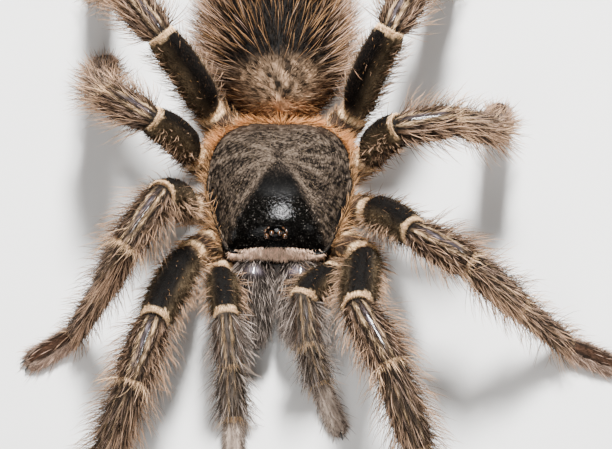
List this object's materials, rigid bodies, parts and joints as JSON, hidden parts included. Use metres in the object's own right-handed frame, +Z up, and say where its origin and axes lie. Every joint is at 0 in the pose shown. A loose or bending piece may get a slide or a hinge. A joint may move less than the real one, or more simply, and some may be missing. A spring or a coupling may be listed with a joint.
{
  "type": "tarantula",
  "caption": "Life-size tarantula standing still on a floor: hairy body, jointed legs and feelers with pale stripes and bands, a dark shell in front and a round abdomen behind.",
  "frame": {"origin": "on the floor, under the middle of the bounding box", "axes": "+Z up, the head faces -Y, and the animal's left side is +X"},
  "size_m": [0.0786, 0.1006, 0.0254],
  "materials": {
    "carapace": "dark horny shell under very short, close-lying taupe hairs that glint",
    "femur_coat": "black velvet of short hair, with rust-coloured longer hairs at the sides",
    "striped_coat": "grey-brown hair with cream stripes and cream bands at the joints",
    "tarsus_coat": "olive-brown hair on top, a dense pinkish-grey pad at the sides and beneath",
    "body_coat": "short grey-brown hair",
    "abdomen_coat": "black velvet under long rust and tan hairs",
    "chelicera_coat": "grey-taupe velvet with darker lengthwise streaks",
    "fang": "polished black horn",
    "eyes": "glossy, amber-brown lenses on a black mound",
    "spinneret": "short brown hair"
  },
  "bodies": {
    "root": {"abdomen": "abdomen_coat", "carapace": "carapace", "chelicera_left": "chelicera_coat", "chelicera_right": "chelicera_coat", "eye_tubercle": "eyes", "fang_left": "fang", "fang_right": "fang", "leg_1_left_femur": "femur_coat", "leg_1_left_metatarsus": "striped_coat", "leg_1_left_patella": "striped_coat", "leg_1_left_tarsus": "tarsus_coat", "leg_1_left_tibia": "striped_coat", "leg_1_right_femur": "femur_coat", "leg_1_right_metatarsus": "striped_coat", "leg_1_right_patella": "striped_coat", "leg_1_right_tarsus": "tarsus_coat", "leg_1_right_tibia": "striped_coat", "leg_2_left_femur": "femur_coat", "leg_2_left_metatarsus": "striped_coat", "leg_2_left_patella": "striped_coat", "leg_2_left_tarsus": "tarsus_coat", "leg_2_left_tibia": "striped_coat", "leg_2_right_femur": "femur_coat", "leg_2_right_metatarsus": "striped_coat", "leg_2_right_patella": "striped_coat", "leg_2_right_tarsus": "tarsus_coat", "leg_2_right_tibia": "striped_coat", "leg_3_left_femur": "femur_coat", "leg_3_left_metatarsus": "striped_coat", "leg_3_left_patella": "striped_coat", "leg_3_left_tarsus": "tarsus_coat", "leg_3_left_tibia": "striped_coat", "leg_3_right_femur": "femur_coat", "leg_3_right_metatarsus": "striped_coat", "leg_3_right_patella": "striped_coat", "leg_3_right_tarsus": "tarsus_coat", "leg_3_right_tibia": "striped_coat", "leg_4_left_femur": "femur_coat", "leg_4_left_metatarsus": "striped_coat", "leg_4_left_patella": "striped_coat", "leg_4_left_tarsus": "tarsus_coat", "leg_4_left_tibia": "striped_coat", "leg_4_right_femur": "femur_coat", "leg_4_right_metatarsus": "striped_coat", "leg_4_right_patella": "striped_coat", "leg_4_right_tarsus": "tarsus_coat", "leg_4_right_tibia": "striped_coat", "palp_left_femur": "femur_coat", "palp_left_patella": "striped_coat", "palp_left_tarsus": "tarsus_coat", "palp_left_tibia": "striped_coat", "palp_right_femur": "femur_coat", "palp_right_patella": "striped_coat", "palp_right_tarsus": "tarsus_coat", "palp_right_tibia": "striped_coat", "pedicel": "body_coat", "prosoma_underside": "body_coat", "spinneret_left": "spinneret", "spinneret_right": "spinneret"}
  },
  "joints": []
}
